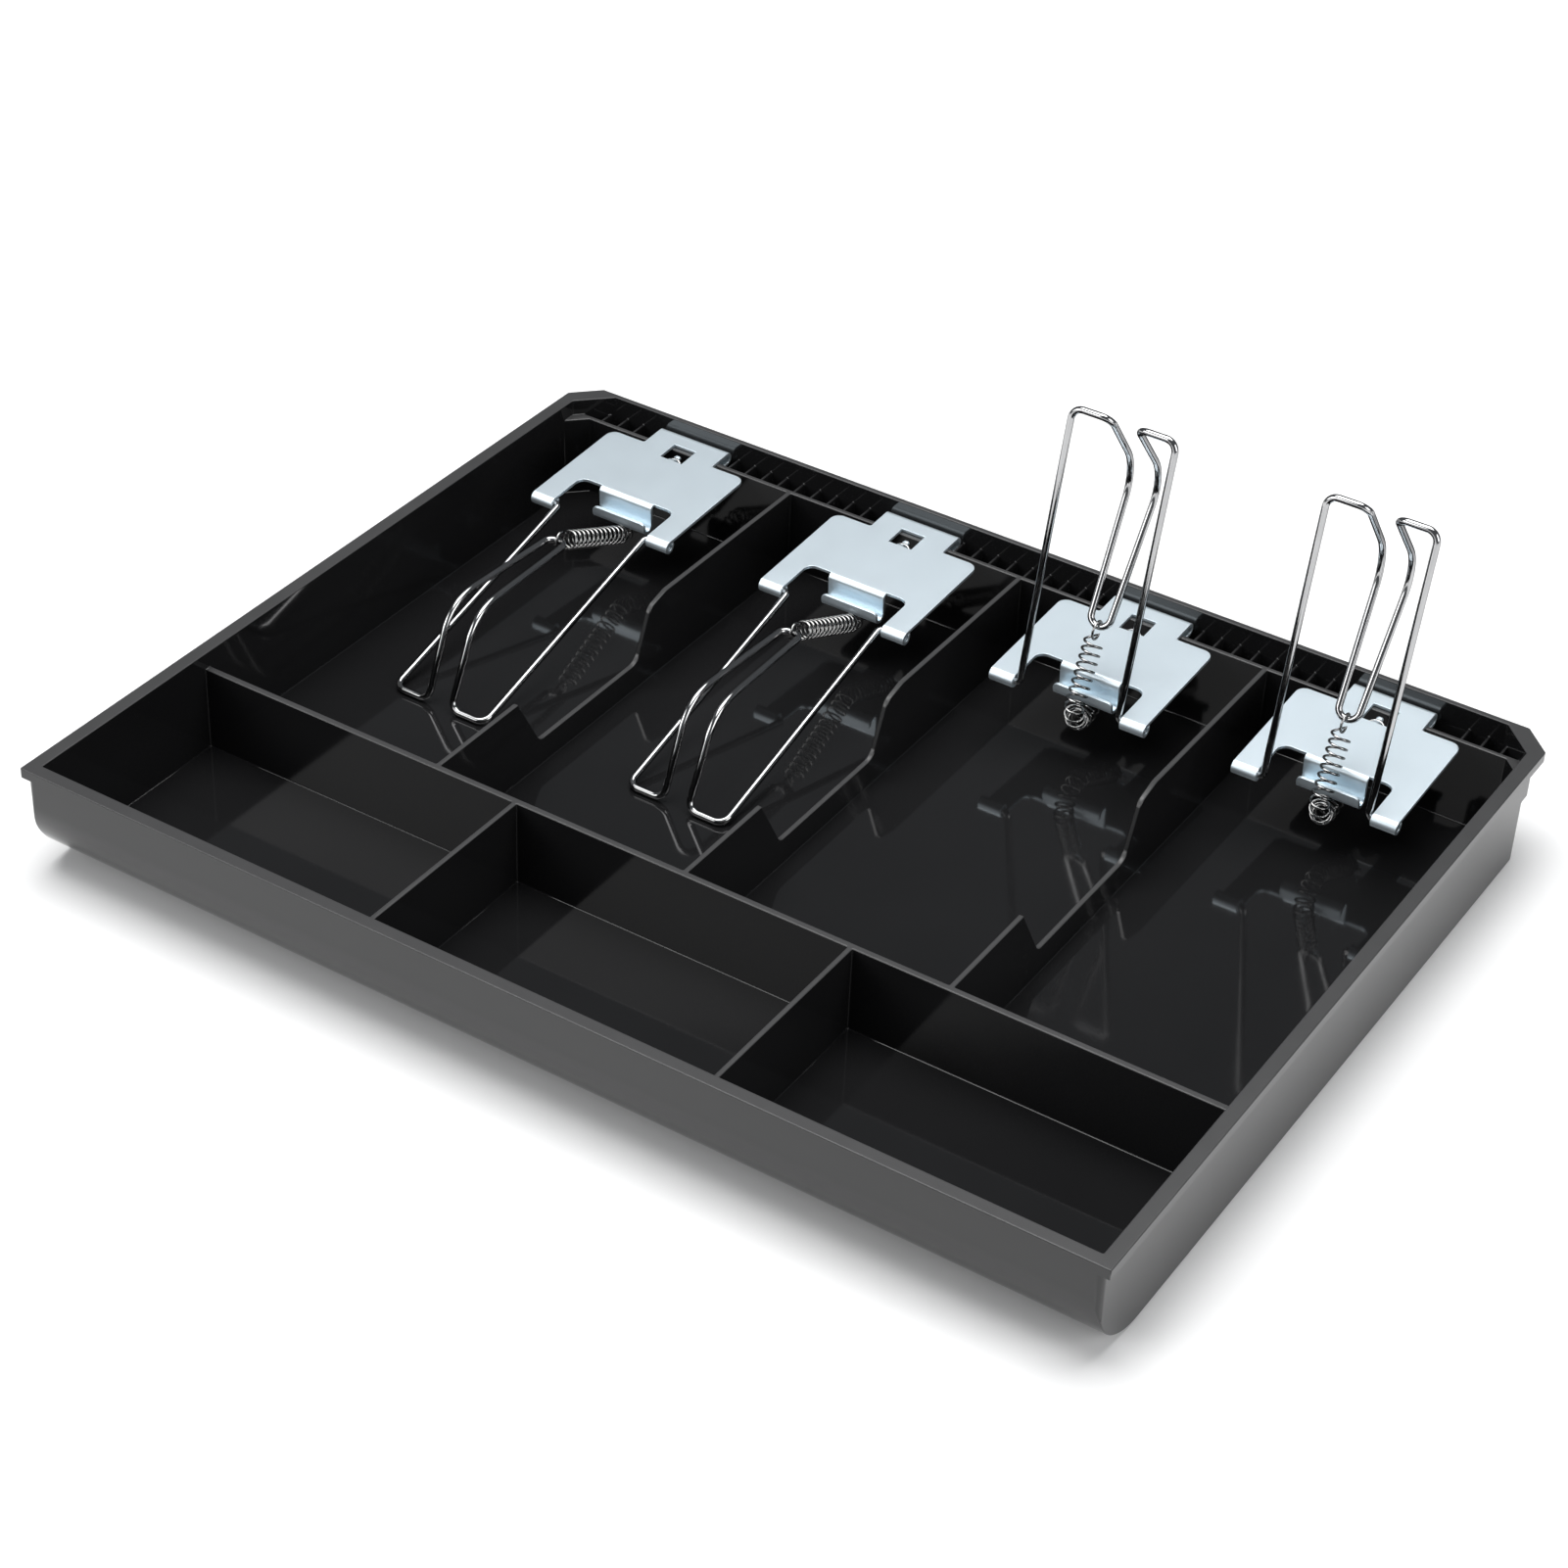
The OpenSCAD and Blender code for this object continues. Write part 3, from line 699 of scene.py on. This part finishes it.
def build_spring(clip, name):
    line, eye_loop, hook, tilt = spring_axis(clip)
    _, total = resample(line, 1)
    turns = round(total / COIL_PITCH)
    fine, _ = resample(line, total / (turns * 22))
    coil = []
    for i, (p, share) in enumerate(fine):
        before, after = fine[max(i - 1, 0)][0], fine[min(i + 1, len(fine) - 1)][0]
        ahead = (after - before).normalized()
        up = ACROSS.cross(ahead)
        a = 2 * math.pi * turns * share + math.pi / 2
        coil.append(p + COIL_R * (ACROSS * math.cos(a) + up * math.sin(a)))
    # a round loop takes the coil's last turns at each end
    ahead = (line[1] - line[0]).normalized()
    up = ACROSS.cross(ahead)
    first = [eye_loop + COIL_R * (ahead * math.cos(a) + up * math.sin(a))
             for a in np.linspace(math.radians(-265), math.radians(60), 30)]
    back = side_point(math.cos(tilt), math.sin(tilt))
    last = [hook + COIL_R * (-back * math.cos(a) + ACROSS * math.sin(a))
            for a in np.linspace(math.radians(-60), math.radians(265), 30)]
    path = first + join(first[-1], coil[5]) + coil[5:-5] + join(coil[-6], last[0]) + last
    bm = bmesh.new()
    sweep(bm, [Vector((HINGE[clip].x, 0, 0)) + p for p in path], COIL_WIRE_R, 10)
    spring = make_object(name + "_coil", bm, STEEL, 80)
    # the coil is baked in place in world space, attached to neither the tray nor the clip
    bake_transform(spring)
    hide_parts(name)


def join(a, b):
    """A few points between the ends of two runs of wire."""
    return [a.lerp(b, t) for t in (0.33, 0.66)]


build_tray()
for number, clip in enumerate(CLIPS, 1):
    build_plate(f"clip_plate_{number}", HINGE[clip].x)
    build_clip(clip, f"wire_clip_{number}")
    build_spring(clip, f"clip_spring_{number}")


# ---------------------------------------------------------------- stage, camera and lights
def build_stage():
    bm = bmesh.new()
    block(bm, (-6000, -6000, -20), (6000, 6000, -0.05))
    floor = make_object("floor", bm, pale_floor())


def build_camera():
    data = bpy.data.cameras.new("camera")
    data.lens, data.sensor_width = 80.87, 36.0
    data.clip_start, data.clip_end = 0.05, 50
    camera = bpy.data.objects.new("camera", data)
    bpy.context.scene.collection.objects.link(camera)
    azimuth, elevation, roll = (math.radians(a) for a in (31.505, 36.117, 2.572))
    target, distance = Vector((-0.0202, 0.0237, 0)), 0.98225
    away = Vector((math.sin(azimuth) * math.cos(elevation), -math.cos(azimuth) * math.cos(elevation),
                   math.sin(elevation)))
    right = (-away).cross(Vector((0, 0, 1))).normalized()
    up = right.cross(-away)
    tilted = right * math.cos(roll) + up * math.sin(roll)
    top = up * math.cos(roll) - right * math.sin(roll)
    turn = Matrix((tilted, top, away)).transposed()
    camera.matrix_world = Matrix.Translation(target + away * distance) @ turn.to_4x4()
    bpy.context.scene.camera = camera


def softbox(name, place, size, power):
    """A broad light that points at the middle of the tray's underside."""
    data = bpy.data.lights.new(name, "AREA")
    data.shape, data.size, data.size_y = "RECTANGLE", size[0], size[1]
    data.energy = power
    light = bpy.data.objects.new(name, data)
    light.location = place
    light.rotation_euler = (-Vector(place)).to_track_quat("-Z", "Y").to_euler()
    bpy.context.scene.collection.objects.link(light)


def build_world():
    world = bpy.data.worlds.new("studio")
    bpy.context.scene.world = world
    world.use_nodes = True
    sky = world.node_tree.nodes["Background"]
    sky.inputs["Color"].default_value = (0.9, 0.95, 1.0, 1)
    sky.inputs["Strength"].default_value = 0.12


build_stage()
build_camera()
build_world()
softbox("overhead", (-0.2, 0.17, 1.9), (1.8, 1.4), 46)
softbox("front_left", (-1.3, -1.6, 1.0), (1.8, 1.2), 22)
softbox("right", (1.9, -0.2, 0.9), (1.4, 1.4), 17)
bpy.context.scene.view_settings.view_transform = "Standard"
